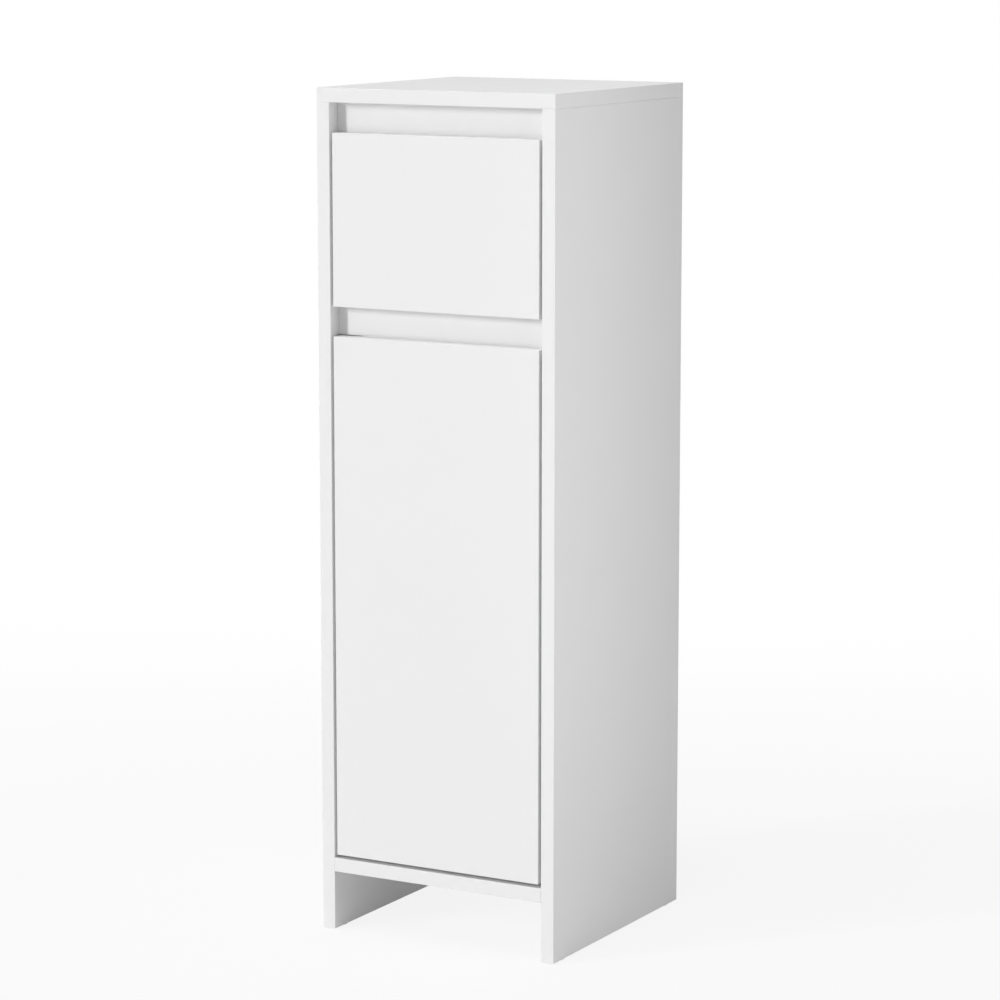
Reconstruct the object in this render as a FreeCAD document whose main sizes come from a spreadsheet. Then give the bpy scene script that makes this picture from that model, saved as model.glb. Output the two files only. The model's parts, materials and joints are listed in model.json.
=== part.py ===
import FreeCAD, Part
import os
import re
import Sketcher

# Mid-height bathroom cabinet: one drawer above one door, both inset and flush with the carcass.
# Frame: origin on the floor at the middle of the footprint, +X to the right seen from the front,
# the front faces -Y, +Z up. Lengths are millimetres.

SIZES = {
    # Carcass
    "cabinet_width": 298,
    "cabinet_depth": 300,
    "cabinet_height": 950,
    "board": 16,
    "edge_round": 0.6,
    "leg_height": 68,
    "divider_drop": 10,
    "shelf_setback": 30,
    "shelf_side_gap": 0.5,
    # Fronts and the finger channels above them
    "front_thickness": 16,
    "front_side_gap": 3.5,
    "door_bottom_gap": 4,
    "grip_channel": 33,
    "drawer_front_height": 191,
    "rail_gap": 1,
    "door_rail_overlap": 8,
    "middle_rail_overlap": 6,
    "upper_rail_overlap": 16,
    # Thin back panel and drawer bottom in their grooves
    "sheet_thickness": 3,
    "sheet_slack": 0.2,
    "back_recess": 10,
    "back_groove_depth": 7,
    "groove_end_gap": 0.5,
    # Drilled joints
    "overrun": 1,
    "fit": 0.1,
    "hole_slack": 0.5,
    "column_setback": 54,
    "system_pitch": 32,
    "dowel_diameter": 8,
    "dowel_in_face": 10,
    "dowel_in_edge": 20,
    "dowel_bevel": 0.8,
    "rail_dowel_spread": 10,
    "cam_diameter": 15,
    "cam_height": 12.5,
    "cam_distance": 24,
    "cam_waist_diameter": 6,
    "cam_recess": 0.3,
    "cap_diameter": 17,
    "cap_height": 0.8,
    "bolt_thread_diameter": 5,
    "bolt_thread_length": 10.5,
    "bolt_shaft_diameter": 4.5,
    "bolt_head_diameter": 6,
    "bolt_head_length": 3,
    "bolt_bore_diameter": 7,
    "shelf_pin_diameter": 5,
    "shelf_pin_in": 8,
    "shelf_pin_out": 8,
    "glide_diameter": 14,
    "glide_height": 1,
    "glide_inset": 25,
    "nail_diameter": 2.2,
    "nail_length": 12,
    # Screws and their cross recess
    "recess_width": 0.9,
    "recess_depth": 0.9,
    "screw_head_diameter": 7,
    "screw_head_height": 1.4,
    "screw_diameter": 3.5,
    "short_screw_length": 9,
    "panel_screw_length": 12,
    "long_screw_length": 32,
    "screw_tip": 2,
    # Drawer box
    "drawer_side_lift": 12,
    "drawer_side_height": 130,
    "drawer_side": 12,
    "drawer_back_gap": 20.8,
    "drawer_bottom_lift": 10,
    "drawer_groove_depth": 5,
    "drawer_cam_height": 9.6,
    "drawer_joint_spread": 36,
    "drawer_screw_spread": 25,
    "bumper_diameter": 8,
    "bumper_height": 0.8,
    "bumper_inset": 20,
    # Roller runners
    "runner_gap": 12.5,
    "runner_metal": 1.2,
    "runner_end_gap": 2,
    "runner_side_gap": 0.8,
    "runner_web_margin": 7,
    "runner_rail_rise": 1.8,
    "runner_screw_gap": 6,
    "runner_screw_inset": 36,
    "drawer_flange_width": 10,
    "drawer_flange_gap": 1.3,
    "roller_diameter": 17,
    "roller_idle_gap": 1.5,
    "roller_bevel": 0.7,
    "roller_clearance": 0.3,
    "roller_web_gap": 1.2,
    "roller_inset": 11,
    "axle_diameter": 4,
    "axle_fit": 0.05,
    "axle_head_diameter": 6,
    "axle_head_height": 0.6,
    "axle_head_gap": 0.2,
    "axle_end_gap": 0.5,
    # Concealed hinges
    "hinge_inset": 100,
    "pin_from_edge": 12,
    "pin_diameter": 3,
    "pin_fit": 0.05,
    "eye_diameter": 5.8,
    "eye_gap": 0.4,
    "cup_pin_offset": 10,
    "cup_diameter": 35,
    "cup_depth": 12.2,
    "cup_wall": 0.8,
    "cup_flange_diameter": 38,
    "cup_flange_height": 1.2,
    "cup_wing_width": 13,
    "cup_wing_offset": 6,
    "cup_screw_spacing": 48,
    "arm_metal": 2.4,
    "arm_width": 15,
    "arm_side_gap": 0.3,
    "arm_bend": 0.9,
    "swing_gap": 0.7,
    "neck_offset": 7.5,
    "neck_clearance": 9,
    "arm_end": 78,
    "plate_height": 8,
    "plate_width": 14,
    "plate_start": 40,
    "plate_wing_height": 1.6,
    "plate_wing_width": 16,
    "plate_screw_depth": 53,
    "adjusting_screw_start": 48,
    "adjusting_screw_spacing": 20,
    "adjusting_screw_length": 8,
    # Door stop on the right side panel
    "stop_width": 10,
    "stop_depth": 12,
    "stop_length": 22,
    "stop_gap": 0.3,
    "stop_screw_length": 21,
    # Wall bracket under the top panel
    "bracket_metal": 2,
    "bracket_leg": 30,
    "bracket_drop": 34,
    "bracket_width": 40,
    "wall_hole_diameter": 5.5,
    "wall_hole_drop": 20,
    "bracket_screw_spacing": 24,
    # Shares of the sizes they follow
    "recess_length_share": 0.6,
    "half_share": 0.5,
}

# Places worked out from the sizes above
LAYOUT = {
    "half_width": "cabinet_width * half_share",
    "half_depth": "cabinet_depth * half_share",
    "half_board": "board * half_share",
    "inner_half": "half_width - board",
    "side_middle": "half_width - half_board",
    "front_y": "-half_depth",
    "top_under": "cabinet_height - board",
    "floor_top": "leg_height + board",
    "door_bottom": "floor_top + door_bottom_gap",
    "front_half": "inner_half - front_side_gap",
    "drawer_front_top": "top_under - grip_channel",
    "drawer_front_bottom": "drawer_front_top - drawer_front_height",
    "door_top": "drawer_front_bottom - grip_channel",
    "front_back_y": "front_y + front_thickness",
    "rail_y": "front_back_y + rail_gap",
    "rail_middle_y": "rail_y + half_board",
    "rail_back_y": "rail_y + board",
    "upper_rail_bottom": "drawer_front_top - upper_rail_overlap",
    "middle_rail_bottom": "door_top - door_rail_overlap",
    "middle_rail_top": "drawer_front_bottom + middle_rail_overlap",
    "divider_under": "drawer_front_bottom - divider_drop - board",
    "back_y": "half_depth - back_recess - sheet_thickness",
    "back_groove_y": "back_y - sheet_slack",
    "groove_width": "sheet_thickness + 2 * sheet_slack",
    "back_edge": "back_groove_depth - groove_end_gap",
    "front_column_y": "front_y + column_setback",
    "rear_column_y": "half_depth - column_setback",
    "shelf_pin_z": "(floor_top + divider_under) * half_share",
    "shelf_bottom": "shelf_pin_z + shelf_pin_diameter * half_share",
    "drawer_bottom_z": "drawer_front_bottom + drawer_side_lift",
    "drawer_middle_z": "drawer_bottom_z + drawer_side_height * half_share",
    "drawer_half": "inner_half - runner_gap",
    "drawer_inner_half": "drawer_half - drawer_side",
    "drawer_side_middle": "drawer_half - drawer_side * half_share",
    "drawer_end_y": "back_groove_y - drawer_back_gap",
    "drawer_length": "drawer_end_y - front_back_y",
    "drawer_sheet_z": "drawer_bottom_z + drawer_bottom_lift",
    "drawer_sheet_edge": "drawer_groove_depth - groove_end_gap",
    "runner_start_y": "front_back_y + runner_end_gap",
    "runner_end_y": "drawer_end_y + runner_end_gap",
    "rail_flange_top": "drawer_bottom_z + runner_rail_rise + runner_metal",
    "drawer_web_reach": "runner_gap - runner_metal",
    "roller_radius": "roller_diameter * half_share",
    "roller_width": "drawer_web_reach - runner_metal - roller_web_gap - axle_head_gap - axle_head_height"
                    " - axle_end_gap",
    "drawer_runner_top": "rail_flange_top + roller_idle_gap + roller_diameter + roller_clearance"
                         " + runner_metal",
    "runner_screw_z": "drawer_runner_top + runner_screw_gap",
    "rail_web_height": "runner_screw_z + runner_web_margin - rail_flange_top + runner_metal",
    "front_roller_y": "runner_start_y + roller_inset",
    "front_roller_z": "drawer_runner_top - runner_metal - roller_clearance - roller_radius",
    "rear_roller_y": "drawer_end_y - roller_inset",
    "rear_roller_z": "rail_flange_top + roller_clearance + roller_radius",
    "axle_reach": "roller_web_gap + roller_width + axle_head_gap",
    "cup_radius": "cup_diameter * half_share - fit",
    "pin_depth": "front_thickness - (cup_depth - fit - cup_wall) + eye_diameter * half_share + eye_gap",
    "pin_reach": "front_side_gap + pin_from_edge",
    "pin_x": "pin_reach - inner_half",
    "pin_y": "front_y + pin_depth",
    "swing_radius": "sqrt(pin_from_edge ^ 2 + max(pin_depth; front_thickness - pin_depth) ^ 2)",
    "swing_reach": "pin_reach + swing_radius + swing_gap",
    "swing_depth": "pin_y + swing_radius + swing_gap - rail_y",
    "pin_length": "2 * sqrt(cup_radius ^ 2 - (cup_pin_offset + pin_diameter * half_share) ^ 2)",
    "cup_x": "pin_x + cup_pin_offset",
    "neck_reach": "pin_reach + cup_pin_offset + neck_offset",
    "neck_depth": "front_thickness + neck_clearance + arm_metal",
    "upper_hinge_z": "door_top - hinge_inset",
    "lower_hinge_z": "door_bottom + hinge_inset",
    "stop_y": "front_back_y + stop_gap + bumper_height",
}

SHELF_HOLES_ABOVE_AND_BELOW = 3
AXES = {
    "+x": FreeCAD.Vector(1, 0, 0),
    "-x": FreeCAD.Vector(-1, 0, 0),
    "+y": FreeCAD.Vector(0, 1, 0),
    "-y": FreeCAD.Vector(0, -1, 0),
    "+z": FreeCAD.Vector(0, 0, 1),
    "-z": FreeCAD.Vector(0, 0, -1),
}
OPPOSITE = {"+x": "-x", "-x": "+x", "+y": "-y", "-y": "+y", "+z": "-z", "-z": "+z"}
# Each side of the cabinet: its sign along X, the way in to the middle and the way out
SIDES = {"left": ("-1", "+x", "-x"), "right": ("1", "-x", "+x")}

doc = FreeCAD.newDocument("MidHeightCabinet")
nodes = {}
holes = {}
groups = {}


def formula(text):
    """Puts the sheet's name before each name of a size or a place."""
    def with_sheet(match):
        name = match.group(0)
        if name in SIZES:
            return "Sizes." + name
        if name in LAYOUT:
            return "Layout." + name
        return name
    return re.sub(r"[a-z_]+", with_sheet, text)


def fill_sheet(name, cells):
    sheet = doc.addObject("Spreadsheet::Sheet", name)
    for row, (alias, content) in enumerate(cells.items(), start=1):
        sheet.set(f"A{row}", alias)
        sheet.set(f"B{row}", content)
        sheet.setAlias(f"B{row}", alias)
    doc.recompute()
    return sheet


fill_sheet("Sizes", {alias: str(number) for alias, number in SIZES.items()})
layout = fill_sheet("Layout", {alias: "=" + formula(text) for alias, text in LAYOUT.items()})


def value(text):
    return float(layout.evalExpression(formula(text)))


def bind(item, **formulas):
    for prop, text in formulas.items():
        item.setExpression(prop, formula(text))


def place(item, point, direction="+z"):
    """Turns an item's own Z to the direction and ties its origin to the point."""
    turn = FreeCAD.Rotation(AXES["+z"], AXES[direction])
    item.Placement = FreeCAD.Placement(FreeCAD.Vector(), turn)
    for axis, text in zip("xyz", point):
        item.setExpression(f"Placement.Base.{axis}", formula(text))


def along(point, direction, distance):
    """The point moved by a distance in one of the six directions."""
    moved = list(point)
    index = "xyz".index(direction[1])
    moved[index] = f"{point[index]} {direction[0]} ({distance})"
    return tuple(moved)


def block(name, corner, size):
    box = doc.addObject("Part::Box", name)
    bind(box, Length=size[0], Width=size[1], Height=size[2])
    place(box, corner)
    return box


def rod(name, point, direction, diameter, length):
    cylinder = doc.addObject("Part::Cylinder", name)
    bind(cylinder, Radius=f"({diameter}) * half_share", Height=length)
    place(cylinder, point, direction)
    return cylinder


def fuse(name, shapes):
    if len(shapes) == 1:
        return shapes[0]
    fusion = doc.addObject("Part::MultiFuse", name)
    fusion.Shapes = shapes
    return fusion


def cut(name, base, tools):
    result = doc.addObject("Part::Cut", name)
    result.Base = base
    result.Tool = fuse(name + "_tools", tools)
    return result


def outline(body, role, points):
    """A closed outline of straight lines, each corner tied to its two formulas."""
    sketch = body.newObject("Sketcher::SketchObject", body.Name + "_outline")
    plane = next(item for item in body.Origin.OriginFeatures if item.Role == role)
    sketch.AttachmentSupport = [(plane, "")]
    sketch.MapMode = "FlatFace"
    corners = [FreeCAD.Vector(value(across), value(up), 0) for across, up in points]
    for start, end in zip(corners, corners[1:] + corners[:1]):
        sketch.addGeometry(Part.LineSegment(start, end))
    for line in range(len(points)):
        following = (line + 1) % len(points)
        sketch.addConstraint(Sketcher.Constraint("Coincident", line, 2, following, 1))
    for line, (across, up) in enumerate(points):
        for kind, text, axis in (("DistanceX", across, -2), ("DistanceY", up, -1)):
            if text == "0":
                sketch.addConstraint(Sketcher.Constraint("PointOnObject", line, 1, axis))
                continue
            index = sketch.addConstraint(Sketcher.Constraint(kind, -1, 1, line, 1, value(text)))
            sketch.setExpression(f"Constraints[{index}]", formula(text))
    return sketch


def padded(name, points, height):
    """A body raised from an outline in its own XY plane."""
    body = doc.addObject("PartDesign::Body", name)
    pad = body.newObject("PartDesign::Pad", name + "_pad")
    pad.Profile = outline(body, "XY_Plane", points)
    bind(pad, Length=height)
    body.Tip = pad
    return body


def turned(name, points):
    """A body turned about its own Z from an outline of radii and heights."""
    body = doc.addObject("PartDesign::Body", name)
    profile = outline(body, "XZ_Plane", points)
    revolution = body.newObject("PartDesign::Revolution", name + "_revolution")
    revolution.Profile = profile
    revolution.ReferenceAxis = (profile, ["V_Axis"])
    revolution.Angle = 360
    body.Tip = revolution
    return body


def board(name, corner, size):
    """A panel or block with slightly rounded edges all round."""
    length, width, height = size
    corners = [("0", "0"), (length, "0"), (length, width), ("0", width)]
    body = padded(name + "_blank", corners, height)
    doc.recompute()
    pad = body.Tip
    rounding = body.newObject("PartDesign::Fillet", name + "_edges")
    rounding.Base = (pad, ["Edge1"])
    rounding.UseAllEdges = True
    bind(rounding, Radius="edge_round")
    body.Tip = rounding
    place(body, corner)
    nodes[name] = body


def remove(name, tool):
    holes.setdefault(name, []).append(tool)


def drill(name, point, direction, diameter, depth):
    """A round hole in a node, from a point on its face."""
    start = along(point, OPPOSITE[direction], "overrun")
    remove(name, rod(name + "_hole", start, direction, diameter, f"{depth} + overrun"))


def put(group, master, point, direction):
    """One more copy of a fastener in its group."""
    copy = doc.addObject("App::Link", group + "_copy")
    copy.setLink(master)
    place(copy, point, direction)
    groups.setdefault(group, []).append(copy)


def cross_recess(name, head_diameter, face):
    """The two crossed slots of a driver recess, sunk from a head's outer face."""
    length = f"({head_diameter}) * recess_length_share"
    slots = []
    for first, second in ((length, "recess_width"), ("recess_width", length)):
        corner = (f"-({first}) * half_share", f"-({second}) * half_share", f"{face} - overrun")
        slots.append(block(name + "_slot", corner, (first, second, "recess_depth + overrun")))
    return slots


def screw(name, length):
    """A pan-head screw: its head's seat is at the origin, its tip points along +Z."""
    radius = "screw_diameter * half_share"
    head = "screw_head_diameter * half_share"
    top = "-screw_head_height"
    points = [("0", top), (head, top), (head, "0"), (radius, "0")]
    points += [(radius, f"{length} - screw_tip"), ("0", length)]
    return cut(name, turned(name + "_blank", points), cross_recess(name, "screw_head_diameter", top))


def cam(name, height, axis_depth):
    """A cam lock with a waist where the bolt's head sits. Its open face is at the origin."""
    radius = "cam_diameter * half_share - fit"
    waist = "cam_waist_diameter * half_share"
    reach = "(bolt_head_diameter * half_share + fit)"
    points = [("0", "cam_recess"), (radius, "cam_recess"), (radius, f"{axis_depth} - {reach}")]
    points += [(waist, f"{axis_depth} - {reach}"), (waist, f"{axis_depth} + {reach}")]
    points += [(radius, f"{axis_depth} + {reach}"), (radius, height), ("0", height)]
    return cut(name, turned(name + "_blank", points), cross_recess(name, "cam_diameter", "cam_recess"))


def bevelled_pin(name, diameter, below, above, bevel):
    """A round pin from below the joint plane to above it, with bevelled ends."""
    radius = f"{diameter} * half_share"
    points = [("0", f"-{below}"), (f"{radius} - {bevel}", f"-{below}"), (radius, f"{bevel} - {below}")]
    points += [(radius, f"{above} - {bevel}"), (f"{radius} - {bevel}", above), ("0", above)]
    return turned(name, points)


def cam_bolt(name):
    """A bolt whose thread lies below the joint plane and whose head reaches the cam."""
    thread = "bolt_thread_diameter * half_share"
    shaft = "bolt_shaft_diameter * half_share"
    head = "bolt_head_diameter * half_share"
    tip = "cam_distance - cam_waist_diameter * half_share - fit"
    neck = f"{tip} - bolt_head_length"
    points = [("0", "-bolt_thread_length"), (thread, "-bolt_thread_length"), (thread, "0")]
    points += [(shaft, "0"), (shaft, neck), (head, neck), (head, tip), ("0", tip)]
    return turned(name, points)


def disc(name, diameter, height, bevel):
    """A flat button standing on the origin's plane, away from the board."""
    radius = f"{diameter} * half_share"
    points = [("0", f"-{height}"), (f"{radius} - {bevel}", f"-{height}"), (radius, f"{bevel} - {height}")]
    points += [(radius, "0"), ("0", "0")]
    return turned(name, points)


# Fasteners, each made once and copied into its group
dowel = bevelled_pin("dowel", "dowel_diameter", "dowel_in_face", "dowel_in_edge", "dowel_bevel")
shelf_pin = bevelled_pin("shelf_pin", "shelf_pin_diameter", "shelf_pin_out", "shelf_pin_in", "fit")
carcass_cam = cam("carcass_cam", "cam_height", "half_board")
drawer_cam = cam("drawer_cam", "drawer_cam_height", "drawer_side * half_share")
bolt = cam_bolt("bolt")
cap = disc("cap", "cap_diameter", "cap_height", "cap_height * half_share")
bumper = disc("bumper", "bumper_diameter", "bumper_height", "bumper_height * half_share")
short_screw = screw("short_screw", "short_screw_length")
panel_screw = screw("panel_screw", "panel_screw_length")
long_screw = screw("long_screw", "long_screw_length")
adjusting_screw = screw("adjusting_screw", "adjusting_screw_length")
stop_screw = screw("stop_screw", "stop_screw_length")
glide = turned("glide", [
    ("0", "-glide_height"), ("glide_diameter * half_share", "-glide_height"),
    ("glide_diameter * half_share", "0"), ("nail_diameter * half_share", "0"),
    ("nail_diameter * half_share", "nail_length"), ("0", "nail_length"),
])


def dowel_joint(group, face_node, edge_node, point, direction):
    """A dowel across a joint: its short end in a board's face, its long end in the other's edge."""
    bore = "dowel_diameter + 2 * fit"
    drill(face_node, point, OPPOSITE[direction], bore, "dowel_in_face + hole_slack")
    drill(edge_node, point, direction, bore, "dowel_in_edge + hole_slack")
    put(group, dowel, point, direction)


def cam_joint(prefix, face_node, edge_node, point, direction, cam_master, cam_height, cam_point, cam_way):
    """A bolt in one board's face, drawn in by a cam in the other board."""
    thread = "bolt_thread_diameter + 2 * fit"
    drill(face_node, point, OPPOSITE[direction], thread, "bolt_thread_length + hole_slack")
    drill(edge_node, point, direction, "bolt_bore_diameter", "cam_distance")
    put(prefix + "cam_bolts", bolt, point, direction)
    drill(edge_node, cam_point, cam_way, "cam_diameter", f"{cam_height} + fit")
    put(prefix + "cam_locks", cam_master, cam_point, cam_way)


def screwed(group, master, length, point, direction, node, taken):
    """A screw seated on a point, with its hole in the board behind the metal that it holds."""
    put(group, master, point, direction)
    drill(node, along(point, direction, taken), direction, "screw_diameter + 2 * fit",
          f"{length} - ({taken}) + hole_slack")


# Carcass boards
for side, (sign, inward, outward) in SIDES.items():
    side_x = "-half_width" if sign == "-1" else "inner_half"
    board(f"{side}_side_panel", (side_x, "front_y", "glide_height"),
          ("board", "cabinet_depth", "top_under - glide_height"))
board("top_panel", ("-half_width", "front_y", "top_under"), ("cabinet_width", "cabinet_depth", "board"))
board("bottom_panel", ("-inner_half", "front_y", "leg_height"), ("2 * inner_half", "cabinet_depth", "board"))
board("divider_panel", ("-inner_half", "rail_back_y", "divider_under"),
      ("2 * inner_half", "back_groove_y - rail_back_y", "board"))
board("upper_grip_rail", ("-inner_half", "rail_y", "upper_rail_bottom"),
      ("2 * inner_half", "board", "top_under - upper_rail_bottom"))
board("middle_grip_rail", ("-inner_half", "rail_y", "middle_rail_bottom"),
      ("2 * inner_half", "board", "middle_rail_top - middle_rail_bottom"))
board("shelf", ("shelf_side_gap - inner_half", "front_y + shelf_setback", "shelf_bottom"),
      ("2 * (inner_half - shelf_side_gap)", "back_groove_y - front_y - shelf_setback", "board"))

# Back panel in its grooves
nodes["back_panel"] = block(
    "back_sheet", ("-inner_half - back_edge", "back_y", "floor_top - back_edge"),
    ("2 * (inner_half + back_edge)", "sheet_thickness", "top_under - floor_top + 2 * back_edge"))
back_groove = block(
    "back_groove", ("-inner_half - back_groove_depth", "back_groove_y", "floor_top - back_groove_depth"),
    ("2 * (inner_half + back_groove_depth)", "groove_width",
     "top_under - floor_top + 2 * back_groove_depth"))
for name in ("left_side_panel", "right_side_panel", "top_panel", "bottom_panel"):
    remove(name, back_groove)

# Joints of the carcass, its shelf pins and foot glides
for side, (sign, inward, outward) in SIDES.items():
    panel = f"{side}_side_panel"
    inner_face = f"{sign} * inner_half"
    middle = f"{sign} * side_middle"
    cam_x = f"{sign} * (inner_half - cam_distance)"
    for column, step in (("front_column_y", "+y"), ("rear_column_y", "-y")):
        top_joint = (middle, column, "top_under")
        top_cam = (inner_face, column, "top_under - cam_distance")
        cam_joint("", "top_panel", panel, top_joint, "-z", carcass_cam, "cam_height", top_cam, outward)
        put("cam_cover_caps", cap, top_cam, outward)
        dowel_joint("carcass_dowels", "top_panel", panel, along(top_joint, step, "system_pitch"), "-z")
        for node, under in (("bottom_panel", "leg_height"), ("divider_panel", "divider_under")):
            joint = (inner_face, column, f"{under} + half_board")
            cam_seat = (cam_x, column, under)
            cam_joint("", panel, node, joint, inward, carcass_cam, "cam_height", cam_seat, "+z")
            dowel_joint("carcass_dowels", panel, node, along(joint, step, "system_pitch"), inward)
        for row in range(-SHELF_HOLES_ABOVE_AND_BELOW, SHELF_HOLES_ABOVE_AND_BELOW + 1):
            pin_hole = (inner_face, column, f"shelf_pin_z + {row} * system_pitch")
            drill(panel, pin_hole, outward, "shelf_pin_diameter + 2 * fit", "shelf_pin_in + hole_slack")
        put("shelf_pins", shelf_pin, (inner_face, column, "shelf_pin_z"), outward)
    for rail, low, high in (("upper_grip_rail", "upper_rail_bottom", "top_under"),
                            ("middle_grip_rail", "door_top", "middle_rail_top")):
        for way in ("+z", "-z"):
            rail_middle = (inner_face, "rail_middle_y", f"({low} + {high}) * half_share")
            dowel_joint("carcass_dowels", panel, rail, along(rail_middle, way, "rail_dowel_spread"), inward)
    for glide_y in ("front_y + glide_inset", "half_depth - glide_inset"):
        foot = (middle, glide_y, "glide_height")
        drill(panel, foot, "+z", "nail_diameter + 2 * fit", "nail_length + hole_slack")
        put("foot_glides", glide, foot, "+z")

# Drawer boards
board("drawer_front", ("-front_half", "front_y", "drawer_front_bottom"),
      ("2 * front_half", "front_thickness", "drawer_front_height"))
for side, (sign, inward, outward) in SIDES.items():
    side_x = "-drawer_half" if sign == "-1" else "drawer_inner_half"
    board(f"drawer_{side}_side", (side_x, "front_back_y", "drawer_bottom_z"),
          ("drawer_side", "drawer_length", "drawer_side_height"))
board("drawer_back", ("-drawer_inner_half", "drawer_end_y - drawer_side", "drawer_bottom_z"),
      ("2 * drawer_inner_half", "drawer_side", "drawer_side_height"))
nodes["drawer_bottom"] = block(
    "drawer_sheet", ("-drawer_inner_half - drawer_sheet_edge", "front_back_y - drawer_sheet_edge",
                     "drawer_sheet_z"),
    ("2 * (drawer_inner_half + drawer_sheet_edge)",
     "drawer_length - drawer_side + 2 * drawer_sheet_edge", "sheet_thickness"))
drawer_groove = block(
    "drawer_groove", ("-drawer_inner_half - drawer_groove_depth", "front_back_y - drawer_groove_depth",
                      "drawer_sheet_z - sheet_slack"),
    ("2 * (drawer_inner_half + drawer_groove_depth)",
     "drawer_length - drawer_side + 2 * drawer_groove_depth", "groove_width"))
for name in ("drawer_front", "drawer_left_side", "drawer_right_side", "drawer_back"):
    remove(name, drawer_groove)

# Joints of the drawer, and the soft buttons that meet the upper rail
for side, (sign, inward, outward) in SIDES.items():
    box_side = f"drawer_{side}_side"
    middle = (f"{sign} * drawer_side_middle", "front_back_y", "drawer_middle_z")
    dowel_joint("drawer_dowels", "drawer_front", box_side, middle, "+y")
    back_middle = (f"{sign} * drawer_half", "drawer_end_y - drawer_side * half_share", "drawer_middle_z")
    for way in ("+z", "-z"):
        joint = along(middle, way, "drawer_joint_spread")
        cam_point = (f"{sign} * drawer_inner_half", "front_back_y + cam_distance", joint[2])
        cam_joint("drawer_", "drawer_front", box_side, joint, "+y", drawer_cam, "drawer_cam_height",
                  cam_point, outward)
        seat = along(back_middle, way, "drawer_screw_spread")
        put("drawer_back_screws", long_screw, seat, inward)
        drill(box_side, seat, inward, "screw_diameter + 2 * fit", "drawer_side + overrun")
        drill("drawer_back", along(seat, inward, "drawer_side"), inward, "screw_diameter + 2 * fit",
              "long_screw_length - drawer_side + hole_slack")
    corner = (f"{sign} * (front_half - bumper_inset)", "front_back_y",
              "drawer_front_top - upper_rail_overlap * half_share")
    put("drawer_bumpers", bumper, corner, "-y")


def side_block(name, sign, near, far, start_y, length, low, height):
    """A block beside a side panel, between two distances from the panel's inner face."""
    corner_x = f"-inner_half + ({near})" if sign == "-1" else f"inner_half - ({far})"
    return block(name, (corner_x, start_y, low), (f"({far}) - ({near})", length, height))


def lobed_strip(name, middle, direction, width, thickness, spacing):
    """A flat strip up a board's face, with a round end about each of its two screws."""
    low = along(middle, "-z", f"{spacing} * half_share")
    if direction == "+x":
        corner, size = along(low, "-y", f"{width} * half_share"), (thickness, width, spacing)
    else:
        corner, size = along(low, "-x", f"{width} * half_share"), (width, thickness, spacing)
    ends = [rod(name + "_end", along(middle, way, f"{spacing} * half_share"), direction, width, thickness)
            for way in ("+z", "-z")]
    return [block(name, corner, size), *ends]


def axle(name, point, direction):
    """A headed axle, from the web that carries it to just past its roller."""
    head = along(point, direction, "axle_reach")
    return [rod(name, point, direction, "axle_diameter", "axle_reach"),
            rod(name + "_head", head, direction, "axle_head_diameter", "axle_head_height")]


# Runners: a fixed rail with the front roller, and a drawer member with the rear roller
for side, (sign, inward, outward) in SIDES.items():
    panel = f"{side}_side_panel"
    rail_name = f"{side}_runner_rail"
    member_name = f"{side}_drawer_runner"
    rail_length = "runner_end_y - runner_start_y"
    member_length = "drawer_length - 2 * runner_end_gap"
    web_face = f"{sign} * (inner_half - runner_metal)"
    front_axle = (web_face, "front_roller_y", "front_roller_z")
    nodes[rail_name] = fuse(rail_name + "_blank", [
        side_block(rail_name + "_web", sign, "0", "runner_metal", "runner_start_y", rail_length,
                   "rail_flange_top - runner_metal", "rail_web_height"),
        side_block(rail_name + "_flange", sign, "0", "drawer_web_reach - runner_side_gap", "runner_start_y",
                   rail_length, "rail_flange_top - runner_metal", "runner_metal"),
        *axle(rail_name + "_axle", front_axle, inward),
    ])
    member_face = f"{sign} * (inner_half - drawer_web_reach)"
    rear_axle = (member_face, "rear_roller_y", "rear_roller_z")
    nodes[member_name] = fuse(member_name + "_blank", [
        side_block(member_name + "_web", sign, "drawer_web_reach", "runner_gap", "runner_start_y",
                   member_length, "drawer_bottom_z - runner_metal",
                   "drawer_runner_top - drawer_bottom_z + runner_metal"),
        side_block(member_name + "_sole", sign, "drawer_web_reach", "runner_gap + drawer_flange_width",
                   "runner_start_y", member_length, "drawer_bottom_z - runner_metal", "runner_metal"),
        side_block(member_name + "_flange", sign, "runner_metal + drawer_flange_gap", "runner_gap",
                   "runner_start_y", member_length, "drawer_runner_top - runner_metal", "runner_metal"),
        *axle(member_name + "_axle", rear_axle, outward),
    ])
    roller_outline = [
        ("axle_diameter * half_share + axle_fit", "0"), ("roller_radius - roller_bevel", "0"),
        ("roller_radius", "roller_bevel"), ("roller_radius", "roller_width - roller_bevel"),
        ("roller_radius - roller_bevel", "roller_width"),
        ("axle_diameter * half_share + axle_fit", "roller_width"),
    ]
    for end, axle_point, way in (("front", front_axle, inward), ("rear", rear_axle, outward)):
        roller = turned(f"{end}_{side}_wheel", roller_outline)
        place(roller, along(axle_point, way, "roller_web_gap"), way)
        nodes[f"{end}_{side}_roller"] = roller
    sole_x = f"{sign} * drawer_side_middle"
    for screw_y in ("runner_start_y + runner_screw_inset", "(runner_start_y + runner_end_y) * half_share",
                    "runner_end_y - runner_screw_inset"):
        rail_seat = (web_face, screw_y, "runner_screw_z")
        screwed("runner_rail_screws", panel_screw, "panel_screw_length", rail_seat, outward, panel,
                "runner_metal")
        drill(rail_name, rail_seat, outward, "screw_diameter + 2 * fit", "runner_metal + overrun")
        sole_seat = (sole_x, screw_y, "drawer_bottom_z - runner_metal")
        screwed("drawer_runner_screws", short_screw, "short_screw_length", sole_seat, "+z",
                f"drawer_{side}_side", "runner_metal")
        drill(member_name, sole_seat, "+z", "screw_diameter + 2 * fit", "runner_metal + overrun")

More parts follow.
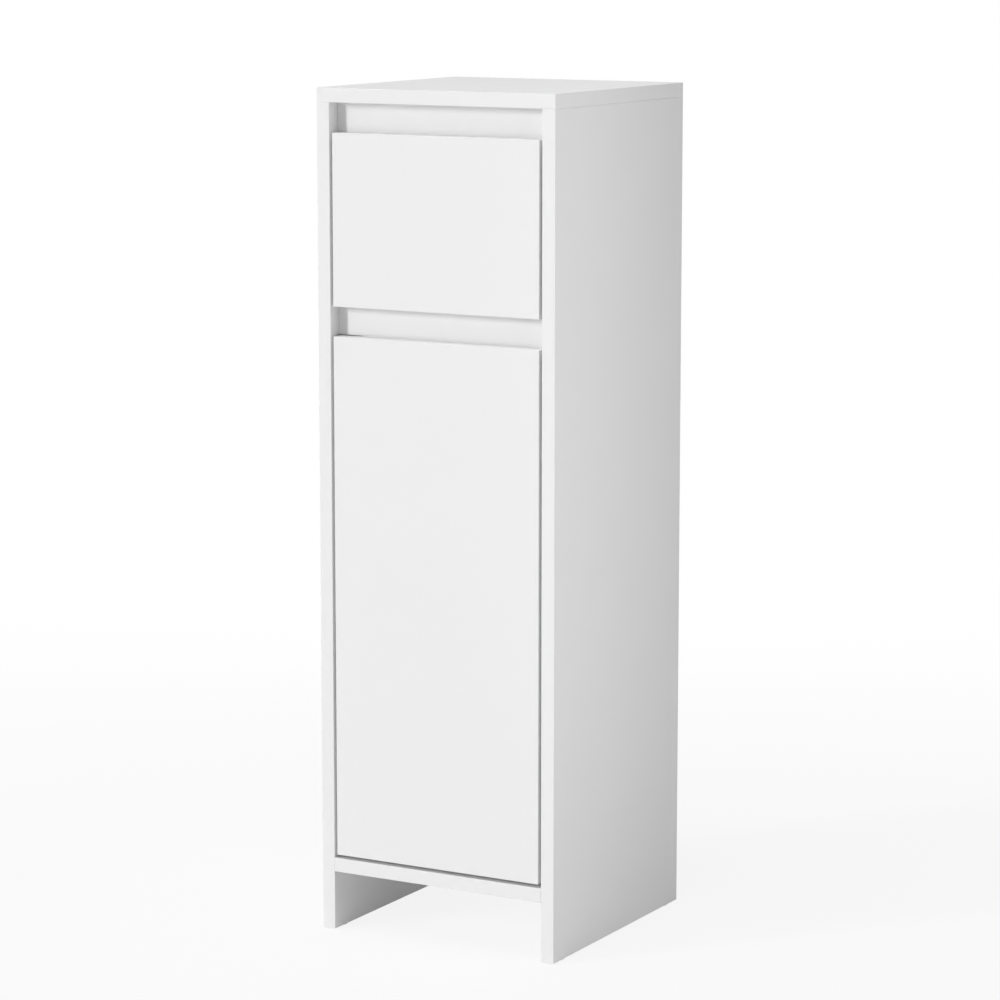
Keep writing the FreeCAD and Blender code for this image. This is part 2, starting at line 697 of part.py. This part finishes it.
# Door and its two concealed hinges
board("door_panel", ("-front_half", "front_y", "door_bottom"),
      ("2 * front_half", "front_thickness", "door_top - door_bottom"))
arm_outline = [
    ("pin_reach", "pin_depth - arm_metal * half_share"),
    ("neck_reach", "pin_depth - arm_metal * half_share"),
    ("neck_reach", "neck_depth"), ("plate_height + arm_metal", "neck_depth"),
    ("plate_height + arm_metal", "arm_end"), ("plate_height", "arm_end"),
    ("plate_height", "neck_depth - arm_metal"), ("neck_reach - arm_metal", "neck_depth - arm_metal"),
    ("neck_reach - arm_metal", "pin_depth + arm_metal * half_share"),
    ("pin_reach", "pin_depth + arm_metal * half_share"),
]
for level in ("upper", "lower"):
    hinge_z = f"{level}_hinge_z"
    arm_name = f"{level}_hinge_arm"
    plate_name = f"{level}_hinge_plate"
    cup_name = f"{level}_hinge_cup"
    arm_low = f"{hinge_z} - arm_width * half_share"
    strip = padded(arm_name + "_strip", arm_outline, "arm_width")
    doc.recompute()
    pad = strip.Tip
    upright = [f"Edge{index}" for index, edge in enumerate(pad.Shape.Edges, start=1)
               if abs(edge.Vertexes[0].Z - edge.Vertexes[-1].Z) > value("arm_metal")]
    bends = strip.newObject("PartDesign::Fillet", arm_name + "_bends")
    bends.Base = (pad, upright)
    bind(bends, Radius="arm_bend")
    strip.Tip = bends
    place(strip, ("-inner_half", "front_y", arm_low))
    eye = rod(arm_name + "_eye", ("pin_x", "pin_y", arm_low), "+z", "eye_diameter", "arm_width")
    nodes[arm_name] = fuse(arm_name + "_blank", [strip, eye])
    drill(arm_name, ("pin_x", "pin_y", arm_low), "+z", "pin_diameter + 2 * pin_fit", "arm_width + overrun")

    nodes[plate_name] = fuse(plate_name + "_blank", [
        side_block(plate_name + "_spine", "-1", "0", "plate_height", "front_y + plate_start",
                   "arm_end - plate_start", f"{hinge_z} - plate_width * half_share", "plate_width"),
        *lobed_strip(plate_name + "_wings", ("-inner_half", "front_y + plate_screw_depth", hinge_z), "+x",
                     "plate_wing_width", "plate_wing_height", "system_pitch"),
    ])
    for way in ("+z", "-z"):
        wing_seat = along(("-inner_half + plate_wing_height", "front_y + plate_screw_depth", hinge_z),
                          way, "system_pitch * half_share")
        screwed("hinge_plate_screws", panel_screw, "panel_screw_length", wing_seat, "-x", "left_side_panel",
                "plate_wing_height")
        drill(plate_name, wing_seat, "-x", "screw_diameter + 2 * fit", "plate_wing_height + overrun")
    for step in ("0", "adjusting_screw_spacing"):
        arm_seat = ("-inner_half + plate_height + arm_metal",
                    f"front_y + adjusting_screw_start + {step}", hinge_z)
        screwed("hinge_adjusting_screws", adjusting_screw, "adjusting_screw_length", arm_seat, "-x",
                plate_name, "arm_metal")
        drill(arm_name, arm_seat, "-x", "screw_diameter + 2 * fit", "arm_metal + overrun")

    cup_face = ("cup_x", "front_back_y", hinge_z)
    wing_x = "cup_x + cup_wing_offset"
    pin_low = ("pin_x", "pin_y", f"{hinge_z} - pin_length * half_share")
    shell = rod(cup_name + "_shell", cup_face, "-y", "2 * cup_radius", "cup_depth - fit")
    bosses = doc.addObject("Part::Common", cup_name + "_bosses")
    bosses.Base = shell
    bosses.Tool = cut(cup_name + "_boss_pair", rod(cup_name + "_boss", pin_low, "+z", "eye_diameter",
                                                   "pin_length"), [
        block(cup_name + "_arm_gap", ("pin_x - eye_diameter", "pin_y - eye_diameter",
                                      f"{arm_low} - arm_side_gap"),
              ("2 * eye_diameter", "2 * eye_diameter", "arm_width + 2 * arm_side_gap"))])
    rim = rod(cup_name + "_rim", cup_face, "+y", "cup_flange_diameter", "cup_flange_height")
    wings = lobed_strip(cup_name + "_wings", (wing_x, "front_back_y", hinge_z), "+y", "cup_wing_width",
                        "cup_flange_height", "cup_screw_spacing")
    mouth = rod(cup_name + "_mouth", along(cup_face, "+y", "cup_flange_height + overrun"), "-y",
                "2 * (cup_radius - cup_wall)", "overrun + cup_flange_height + cup_depth - fit - cup_wall")
    hollow = cut(cup_name + "_hollow", fuse(cup_name + "_solid", [shell, rim, *wings]), [mouth])
    nodes[cup_name] = fuse(cup_name + "_blank", [hollow, bosses])
    drill("door_panel", cup_face, "-y", "cup_diameter", "cup_depth")
    drill(cup_name, pin_low, "+z", "pin_diameter + 2 * pin_fit", "pin_length + overrun")
    groups.setdefault("hinge_pins", []).append(
        rod(f"{level}_pin", pin_low, "+z", "pin_diameter", "pin_length"))
    for way in ("+z", "-z"):
        cup_seat = along((wing_x, "front_back_y + cup_flange_height", hinge_z), way,
                         "cup_screw_spacing * half_share")
        screwed("hinge_cup_screws", short_screw, "short_screw_length", cup_seat, "-y", "door_panel",
                "cup_flange_height")
        drill(cup_name, cup_seat, "-y", "screw_diameter + 2 * fit", "cup_flange_height + overrun")

# Notch in the middle rail, where the door's hinged edge swings in behind it
remove("middle_grip_rail", side_block(
    "swing_notch", "-1", "-overrun", "swing_reach", "rail_y - overrun", "overrun + swing_depth",
    "middle_rail_bottom - overrun", "overrun + door_rail_overlap + swing_gap"))

# Door stop on the right side panel, with its soft button
board("door_stop", ("inner_half - stop_width", "stop_y", "upper_hinge_z - stop_length * half_share"),
      ("stop_width", "stop_depth", "stop_length"))
stop_seat = ("inner_half - stop_width", "stop_y + stop_depth * half_share", "upper_hinge_z")
screwed("door_stop_screw", stop_screw, "stop_screw_length", stop_seat, "+x", "right_side_panel",
        "stop_width")
drill("door_stop", stop_seat, "+x", "screw_diameter + 2 * fit", "stop_width + overrun")
put("door_bumper", bumper, ("inner_half - stop_width * half_share", "stop_y", "upper_hinge_z"), "+y")

# Wall bracket under the top panel, screwed up into it and open to the wall through the back panel
bracket_x = "-bracket_width * half_share"
nodes["wall_bracket"] = fuse("wall_bracket_blank", [
    block("wall_bracket_foot", (bracket_x, "back_groove_y - bracket_leg", "top_under - bracket_metal"),
          ("bracket_width", "bracket_leg", "bracket_metal")),
    block("wall_bracket_plate", (bracket_x, "back_groove_y - bracket_metal", "top_under - bracket_drop"),
          ("bracket_width", "bracket_metal", "bracket_drop")),
])
for way in ("+x", "-x"):
    bracket_seat = along(("0", "back_groove_y - bracket_leg * half_share", "top_under - bracket_metal"),
                         way, "bracket_screw_spacing * half_share")
    screwed("wall_bracket_screws", panel_screw, "panel_screw_length", bracket_seat, "+z", "top_panel",
            "bracket_metal")
    drill("wall_bracket", bracket_seat, "+z", "screw_diameter + 2 * fit", "bracket_metal + overrun")
wall_hole = ("0", "back_groove_y - bracket_metal", "top_under - wall_hole_drop")
for name in ("wall_bracket", "back_panel"):
    drill(name, wall_hole, "+y", "wall_hole_diameter", "bracket_metal + groove_width")

# Cut every hole, gather the fasteners and name each node
for name, tools in holes.items():
    nodes[name] = cut(name + "_cut", nodes[name], tools)
for name, copies in groups.items():
    if len(copies) == 1:
        nodes[name] = copies[0]
        continue
    nodes[name] = doc.addObject("Part::Compound", name + "_set")
    nodes[name].Links = copies
for name, item in nodes.items():
    item.Label = name
doc.recompute()

faults = [item.Label for item in doc.Objects if {"Invalid", "Error"} & set(item.State)]
for name, item in nodes.items():
    shape = Part.getShape(item)
    if shape.isNull() or not shape.isValid() or not shape.Solids:
        faults.append(name)
if faults:
    raise RuntimeError("these did not build: " + ", ".join(faults))

os.makedirs("parts", exist_ok=True)
whole = FreeCAD.BoundBox()
for name, item in nodes.items():
    shape = Part.getShape(item)
    shape.exportStep(f"parts/{name}.step")
    whole.add(shape.BoundBox)
print(f"{len(nodes)} nodes, {whole.XLength:.2f} x {whole.YLength:.2f} x {whole.ZLength:.2f} mm")
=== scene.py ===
import json
import math

import bpy
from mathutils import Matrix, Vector


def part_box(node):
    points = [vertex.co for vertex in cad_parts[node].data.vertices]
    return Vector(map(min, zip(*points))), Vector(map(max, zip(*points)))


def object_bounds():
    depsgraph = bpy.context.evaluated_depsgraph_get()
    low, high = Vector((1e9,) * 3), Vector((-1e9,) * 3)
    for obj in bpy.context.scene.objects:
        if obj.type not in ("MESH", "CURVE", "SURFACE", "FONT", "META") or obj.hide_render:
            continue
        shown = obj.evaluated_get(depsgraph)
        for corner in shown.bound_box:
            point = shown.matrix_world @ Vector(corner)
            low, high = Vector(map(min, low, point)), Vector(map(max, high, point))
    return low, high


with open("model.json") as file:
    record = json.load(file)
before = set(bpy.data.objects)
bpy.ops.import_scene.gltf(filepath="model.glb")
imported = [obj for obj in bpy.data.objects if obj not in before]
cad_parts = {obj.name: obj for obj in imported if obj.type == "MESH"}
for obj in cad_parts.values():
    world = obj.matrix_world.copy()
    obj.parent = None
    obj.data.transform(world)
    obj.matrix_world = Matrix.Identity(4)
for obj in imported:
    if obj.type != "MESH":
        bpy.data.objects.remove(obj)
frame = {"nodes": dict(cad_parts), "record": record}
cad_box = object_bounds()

# Lengths are metres, angles degrees, powers watts and colours linear, in the frame of the part
MM = 0.001
NODES = frame["nodes"]
COLOURS = {entry["slot"]: tuple(entry["base_color"][:3]) for entry in frame["record"]["materials"]}
SLOTS = {entry["node"]: entry["material_slot"] for entry in frame["record"]["subparts"]}
BOX_MIDDLE = (cad_box[0] + cad_box[1]) / 2

# Camera, turned to the right of the cabinet's front and a little above it
LENS = 128.7
VIEW_TURN = 29.5
VIEW_RISE = 9.31
VIEW_DISTANCE = 4.044
AIM_OFFSET = Vector((-3.1 * MM, 0, 7.9 * MM))

# Lights, aimed at the cabinet's middle: each turned from its front towards its right, and raised
LIGHTS = {
    "key": {"turn": -36, "rise": 17, "distance": 16.0, "width": 2.2, "height": 4.6, "power": 1205},
    "low_key": {"turn": -36, "rise": -5, "distance": 2.6, "width": 0.4, "height": 0.4, "power": 5.6},
    "side_strip": {"turn": 68, "rise": 1, "distance": 0.6, "width": 0.25, "height": 1.8, "power": 1.95},
    "top": {"turn": -10, "rise": 75, "distance": 6.0, "width": 3.0, "height": 3.0, "power": 109},
    "back": {"turn": 205, "rise": 2, "distance": 2.5, "width": 1.5, "height": 0.5, "power": 18},
}
# Low lights, whose mirror images would whiten the top panel seen from behind
UNMIRRORED = ("key", "low_key", "side_strip")
# Lights so close that they would leave a bright patch on the floor
OFF_FLOOR = ("side_strip",)
# Strength of the even light from all round, and the colour that it and the floor are seen in
AMBIENT = 0.27
PLAIN_WHITE = (1, 1, 1, 1)

# Floor: its colour, how much of it is seen as plain white near the cabinet, and where all of it is
FLOOR_COLOUR = (0.86, 0.86, 0.86)
FLOOR_WHITE_SHARE = 0.86
FLOOR_HALF_SIZE = 40
FADE_START = 0.6
FADE_END = 2.2
BELOW_FLOOR = 0.2 * MM

# Boards: melamine face, edge band and the raw core that shows in holes and grooves
CORE_DEPTH = 0.35 * MM
CORE_SOFTNESS = 0.1 * MM
CORE_DARK = (0.30, 0.19, 0.10)
CORE_LIGHT = (0.66, 0.50, 0.32)
CORE_ROUGHNESS = 0.85
CHIPS_PER_METRE = 600
BAND_SEAM = 0.9 * MM
SEAM_HALF_WIDTH = 0.12 * MM
SEAM_TONE_SHARE = 0.86
# Boards with a cut-out that shows, which is sealed white
SEALED_BOARDS = ("middle_grip_rail",)

# Sheets: white on one face, for a share of their thickness, and raw fibre on the other
HARDBOARD_DARK = (0.17, 0.10, 0.055)
HARDBOARD_LIGHT = (0.36, 0.24, 0.14)
FIBRE_DENSITY = (0.3, 1, 1)
FIBRE_ROUGHNESS = 0.8
WHITE_FACE_SHARE = 0.1
WHITE_FACE_ROUGHNESS = 0.45
# The axis across each sheet, counted from X, and the end of it, low 0 or high 1, that is white
SHEETS = {"back_panel": {"axis": 1, "white_end": 0}, "drawer_bottom": {"axis": 2, "white_end": 1}}

# Noise mostly lies between these values
NOISE_LOW = 0.3
NOISE_HIGH = 0.7

# Sockets of a colour mix, known by number because several of them have the same name
MIX_SHARE = 0
MIX_FIRST = 6
MIX_SECOND = 7
MIX_RESULT = 2


def shader_node(tree, kind, inputs=None, **settings):
    """A shader node; each input is a plain value or the output that feeds it."""
    made = tree.nodes.new("ShaderNode" + kind)
    for name, setting in settings.items():
        setattr(made, name, setting)
    for socket, source in (inputs or {}).items():
        if isinstance(source, bpy.types.NodeSocket):
            tree.links.new(source, made.inputs[socket])
        else:
            made.inputs[socket].default_value = source
    return made


def calc(tree, operation, *terms):
    return shader_node(tree, "Math", dict(enumerate(terms)), operation=operation).outputs[0]


def vector_calc(tree, operation, *terms):
    return shader_node(tree, "VectorMath", dict(enumerate(terms)), operation=operation).outputs[0]


def span(tree, source, low, high, result_low=0, result_high=1):
    """Maps a value smoothly from one range to another."""
    return shader_node(tree, "MapRange", {
        "Value": source, "From Min": low, "From Max": high, "To Min": result_low, "To Max": result_high,
    }, interpolation_type="SMOOTHSTEP").outputs[0]


def mix(tree, share, first, second):
    """One colour turning into another; each is three plain values or the output that feeds it."""
    sources = {MIX_SHARE: share, MIX_FIRST: first, MIX_SECOND: second}
    for socket in (MIX_FIRST, MIX_SECOND):
        if not isinstance(sources[socket], bpy.types.NodeSocket):
            sources[socket] = (*sources[socket], 1)
    return shader_node(tree, "Mix", sources, data_type="RGBA").outputs[MIX_RESULT]


def own_place(tree):
    """Where a point lies in the frame of its object, which is the part's."""
    return shader_node(tree, "TexCoord").outputs["Object"]


def noise(tree, grain, detail=2, density=(1, 1, 1)):
    """Noise whose grains are about that long, and that many times denser along each axis."""
    scaled = vector_calc(tree, "MULTIPLY", own_place(tree), density)
    inputs = {"Vector": scaled, "Scale": 1 / grain, "Detail": detail}
    return shader_node(tree, "TexNoise", inputs).outputs[0]


def toned(tree, colour, grain, spread):
    """The colour, a little lighter and darker in grains of that length."""
    dark = tuple(channel * (1 - spread) for channel in colour)
    light = tuple(channel * (1 + spread) for channel in colour)
    return mix(tree, noise(tree, grain), dark, light)


def varied(tree, grains, low, high):
    """A number that follows a noise from low to high."""
    return span(tree, grains, NOISE_LOW, NOISE_HIGH, low, high)


def bump(tree, height, depth):
    return shader_node(tree, "Bump", {"Height": height, "Distance": depth, "Strength": 1}).outputs[0]


def new_material(name, **constants):
    """A material and its surface shader, with the constants set straight on the shader's sockets."""
    made = bpy.data.materials.new(name)
    made.use_nodes = True
    shader = made.node_tree.nodes["Principled BSDF"]
    for socket, setting in constants.items():
        shader.inputs[socket.replace("_", " ")].default_value = setting
    return made, made.node_tree, shader


def connect(tree, shader, colour, roughness, normal):
    for socket, source in (("Base Color", colour), ("Roughness", roughness), ("Normal", normal)):
        tree.links.new(source, shader.inputs[socket])


def face_distances(tree, name):
    """How far a point lies inside each pair of faces of a node's box."""
    low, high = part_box(name)
    offset = vector_calc(tree, "SUBTRACT", own_place(tree), (low + high) / 2)
    inside = vector_calc(tree, "SUBTRACT", (high - low) / 2, vector_calc(tree, "ABSOLUTE", offset))
    return shader_node(tree, "SeparateXYZ", {0: inside}).outputs


def chipboard(tree):
    """Pressed chips of mixed browns."""
    chips = shader_node(tree, "TexVoronoi", {"Vector": own_place(tree), "Scale": CHIPS_PER_METRE},
                        feature="F1")
    shade = shader_node(tree, "SeparateColor", {0: chips.outputs["Color"]}).outputs[0]
    return mix(tree, shade, CORE_DARK, CORE_LIGHT)


def melamine(name):
    """White satin melamine with a banded edge; the raw core shows inside holes and grooves."""
    made, tree, shader = new_material("melamine_" + name)
    inside = list(face_distances(tree, name))
    low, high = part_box(name)
    sizes = list(high - low)
    thickness = sizes.index(min(sizes))
    across = [inside[axis] for axis in range(3) if axis != thickness]
    to_edge = calc(tree, "MINIMUM", *across)
    depth = calc(tree, "MINIMUM", to_edge, inside[thickness])
    in_core = span(tree, depth, CORE_DEPTH, CORE_DEPTH + CORE_SOFTNESS)
    from_seam = calc(tree, "ABSOLUTE", calc(tree, "SUBTRACT", to_edge, BAND_SEAM))
    seam = span(tree, from_seam, 0, SEAM_HALF_WIDTH, 1, 0)
    face = toned(tree, COLOURS["white_board"], grain=150 * MM, spread=0.006)
    seam_colour = tuple(channel * SEAM_TONE_SHARE for channel in COLOURS["white_board"])
    banded = mix(tree, seam, face, seam_colour)
    colour = banded if name in SEALED_BOARDS else mix(tree, in_core, banded, chipboard(tree))
    satin = varied(tree, noise(tree, grain=40 * MM), low=0.40, high=0.46)
    roughness = calc(tree, "MAXIMUM", satin, calc(tree, "MULTIPLY", in_core, CORE_ROUGHNESS))
    peel = bump(tree, noise(tree, grain=1.4 * MM), depth=0.006 * MM)
    connect(tree, shader, colour, roughness, peel)
    return made


def hardboard(name, axis, white_end):
    """A thin sheet, white on one face and raw brown fibre on the other."""
    made, tree, shader = new_material("hardboard_" + name)
    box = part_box(name)
    across = shader_node(tree, "SeparateXYZ", {0: own_place(tree)}).outputs[axis]
    from_white = calc(tree, "ABSOLUTE", calc(tree, "SUBTRACT", across, box[white_end][axis]))
    raw = span(tree, from_white, 0, (box[1] - box[0])[axis] * WHITE_FACE_SHARE)
    fibres = noise(tree, grain=1.2 * MM, detail=4, density=FIBRE_DENSITY)
    cloud = noise(tree, grain=30 * MM)
    mean_noise = calc(tree, "DIVIDE", calc(tree, "ADD", fibres, cloud), 2)
    brown = mix(tree, mean_noise, HARDBOARD_DARK, HARDBOARD_LIGHT)
    white = toned(tree, COLOURS["white_sheet"], grain=120 * MM, spread=0.008)
    colour = mix(tree, raw, white, brown)
    roughness = span(tree, raw, 0, 1, WHITE_FACE_ROUGHNESS, FIBRE_ROUGHNESS)
    connect(tree, shader, colour, roughness, bump(tree, fibres, depth=0.01 * MM))
    return made


def enamel():
    """Powder coat on pressed steel, with a soft orange peel."""
    made, tree, shader = new_material("white_enamel", Coat_Weight=0.15, Coat_Roughness=0.2)
    colour = toned(tree, COLOURS["white_enamel"], grain=25 * MM, spread=0.01)
    roughness = varied(tree, noise(tree, grain=8 * MM), low=0.32, high=0.42)
    peel = bump(tree, noise(tree, grain=0.9 * MM), depth=0.008 * MM)
    connect(tree, shader, colour, roughness, peel)
    return made


def plated(slot, low_roughness, high_roughness, density):
    """Plated pressed steel, with fine rolling marks along one axis."""
    made, tree, shader = new_material(slot, Metallic=1)
    marks = noise(tree, grain=4 * MM, detail=3, density=density)
    colour = toned(tree, COLOURS[slot], grain=12 * MM, spread=0.05)
    roughness = varied(tree, marks, low_roughness, high_roughness)
    connect(tree, shader, colour, roughness, bump(tree, marks, depth=0.004 * MM))
    return made


def cast_zinc():
    """Dull die-cast metal with a grainy skin."""
    made, tree, shader = new_material("cast_zinc", Metallic=1)
    skin = noise(tree, grain=0.5 * MM, detail=4)
    colour = toned(tree, COLOURS["cast_zinc"], grain=3 * MM, spread=0.12)
    roughness = varied(tree, skin, low=0.42, high=0.6)
    connect(tree, shader, colour, roughness, bump(tree, skin, depth=0.02 * MM))
    return made


def nylon():
    """Moulded nylon with a faint spark-eroded grain."""
    made, tree, shader = new_material("white_nylon", Subsurface_Weight=0.08, Subsurface_Scale=1 * MM)
    skin = noise(tree, grain=0.4 * MM, detail=3)
    colour = toned(tree, COLOURS["white_nylon"], grain=10 * MM, spread=0.012)
    roughness = varied(tree, skin, low=0.36, high=0.48)
    connect(tree, shader, colour, roughness, bump(tree, skin, depth=0.008 * MM))
    return made


def beech():
    """Plain turned beech with short dark flecks."""
    made, tree, shader = new_material("beech")
    flecks = noise(tree, grain=1.5 * MM, detail=4)
    colour = toned(tree, COLOURS["beech"], grain=1.2 * MM, spread=0.18)
    roughness = varied(tree, flecks, low=0.55, high=0.7)
    connect(tree, shader, colour, roughness, bump(tree, flecks, depth=0.02 * MM))
    return made


def silicone():
    """Soft clear button, slightly clouded."""
    made, tree, shader = new_material("clear_silicone", Transmission_Weight=0.2, IOR=1.41)
    cloud = noise(tree, grain=2 * MM)
    colour = toned(tree, COLOURS["clear_silicone"], grain=3 * MM, spread=0.03)
    roughness = varied(tree, cloud, low=0.18, high=0.3)
    connect(tree, shader, colour, roughness, bump(tree, cloud, depth=0.005 * MM))
    return made


# Finishes: boards and sheets have a material each, because theirs follow the piece's own box
SHARED = {
    "white_enamel": enamel(),
    "zinc_steel": plated("zinc_steel", low_roughness=0.3, high_roughness=0.45, density=(1, 0.15, 1)),
    "nickel_steel": plated("nickel_steel", low_roughness=0.2, high_roughness=0.32, density=(1, 1, 0.2)),
    "cast_zinc": cast_zinc(),
    "white_nylon": nylon(),
    "beech": beech(),
    "clear_silicone": silicone(),
}
for name, piece in NODES.items():
    if name in SHEETS:
        finish = hardboard(name, **SHEETS[name])
    elif SLOTS[name] == "white_board":
        finish = melamine(name)
    else:
        finish = SHARED[SLOTS[name]]
    piece.data.materials.clear()
    piece.data.materials.append(finish)


def seen_as_background(tree):
    """One where a ray comes from the camera, a reflection or a clear piece, and otherwise zero."""
    path = shader_node(tree, "LightPath").outputs
    seen = calc(tree, "MAXIMUM", path["Is Camera Ray"], path["Is Glossy Ray"])
    return calc(tree, "MAXIMUM", seen, path["Is Transmission Ray"])


def add_floor():
    """A pale floor that keeps the shadow near the cabinet and fades to white around it."""
    height = cad_box[0].z - BELOW_FLOOR
    corners = [(-1, -1), (1, -1), (1, 1), (-1, 1)]
    mesh = bpy.data.meshes.new("floor")
    mesh.from_pydata([(x * FLOOR_HALF_SIZE, y * FLOOR_HALF_SIZE, height) for x, y in corners], [],
                     [(0, 1, 2, 3)])
    floor = bpy.data.objects.new("floor", mesh)
    bpy.context.scene.collection.objects.link(floor)
    made = bpy.data.materials.new("pale_floor")
    made.use_nodes = True
    tree = made.node_tree
    tree.nodes.clear()
    flat = vector_calc(tree, "MULTIPLY", own_place(tree), (1, 1, 0))
    radius = shader_node(tree, "VectorMath", {0: flat}, operation="LENGTH").outputs["Value"]
    whiteness = span(tree, radius, FADE_START, FADE_END, FLOOR_WHITE_SHARE, 1)
    paint = shader_node(tree, "BsdfDiffuse", {"Color": (*FLOOR_COLOUR, 1)})
    glow = shader_node(tree, "Emission", {"Color": PLAIN_WHITE, "Strength": 1})
    blend = shader_node(tree, "MixShader", {
        0: calc(tree, "MULTIPLY", seen_as_background(tree), whiteness),
        1: paint.outputs[0],
        2: glow.outputs[0],
    })
    shader_node(tree, "OutputMaterial", {"Surface": blend.outputs[0]})
    mesh.materials.append(made)
    return floor


def add_world():
    """Even soft light from all round, seen as plain white."""
    world = bpy.data.worlds.new("studio")
    bpy.context.scene.world = world
    world.use_nodes = True
    tree = world.node_tree
    tree.nodes.clear()
    strength = span(tree, seen_as_background(tree), 0, 1, AMBIENT, 1)
    light = shader_node(tree, "Background", {"Color": PLAIN_WHITE, "Strength": strength})
    shader_node(tree, "OutputWorld", {"Surface": light.outputs[0]})


def direction(turn, rise):
    """From the cabinet's middle, turned from its front towards its right, and raised."""
    turn, rise = math.radians(turn), math.radians(rise)
    return Vector((math.sin(turn) * math.cos(rise), -math.cos(turn) * math.cos(rise), math.sin(rise)))


def aimed(name, data, place, target):
    """An object at a place, looking at the target."""
    made = bpy.data.objects.new(name, data)
    made.location = place
    made.rotation_mode = "QUATERNION"
    made.rotation_quaternion = (target - place).to_track_quat("-Z", "Y")
    bpy.context.scene.collection.objects.link(made)
    return made


def leave_unlit(lamp, piece):
    """Keeps a lamp's light off one piece."""
    unlit = bpy.data.collections.new(lamp.name + "_unlit")
    unlit.objects.link(piece)
    unlit.collection_objects[0].light_linking.link_state = "EXCLUDE"
    lamp.light_linking.receiver_collection = unlit


def add_lights(floor):
    """Soft lamps that the camera doesn't see."""
    for name, light in LIGHTS.items():
        lamp = bpy.data.lights.new(name, "AREA")
        lamp.shape = "RECTANGLE"
        lamp.size = light["width"]
        lamp.size_y = light["height"]
        lamp.energy = light["power"]
        place = BOX_MIDDLE + light["distance"] * direction(light["turn"], light["rise"])
        made = aimed(name, lamp, place, BOX_MIDDLE)
        made.visible_camera = False
        made.visible_glossy = name not in UNMIRRORED
        if name in OFF_FLOOR:
            leave_unlit(made, floor)


def add_camera():
    """The photograph's angle, distance and lens."""
    camera = bpy.data.cameras.new("camera")
    camera.lens = LENS
    camera.clip_end = 2 * FLOOR_HALF_SIZE
    aim = BOX_MIDDLE + AIM_OFFSET
    place = aim + VIEW_DISTANCE * direction(VIEW_TURN, VIEW_RISE)
    bpy.context.scene.camera = aimed("camera", camera, place, aim)


floor = add_floor()
add_world()
add_lights(floor)
add_camera()
bpy.context.scene.view_settings.view_transform = "Standard"
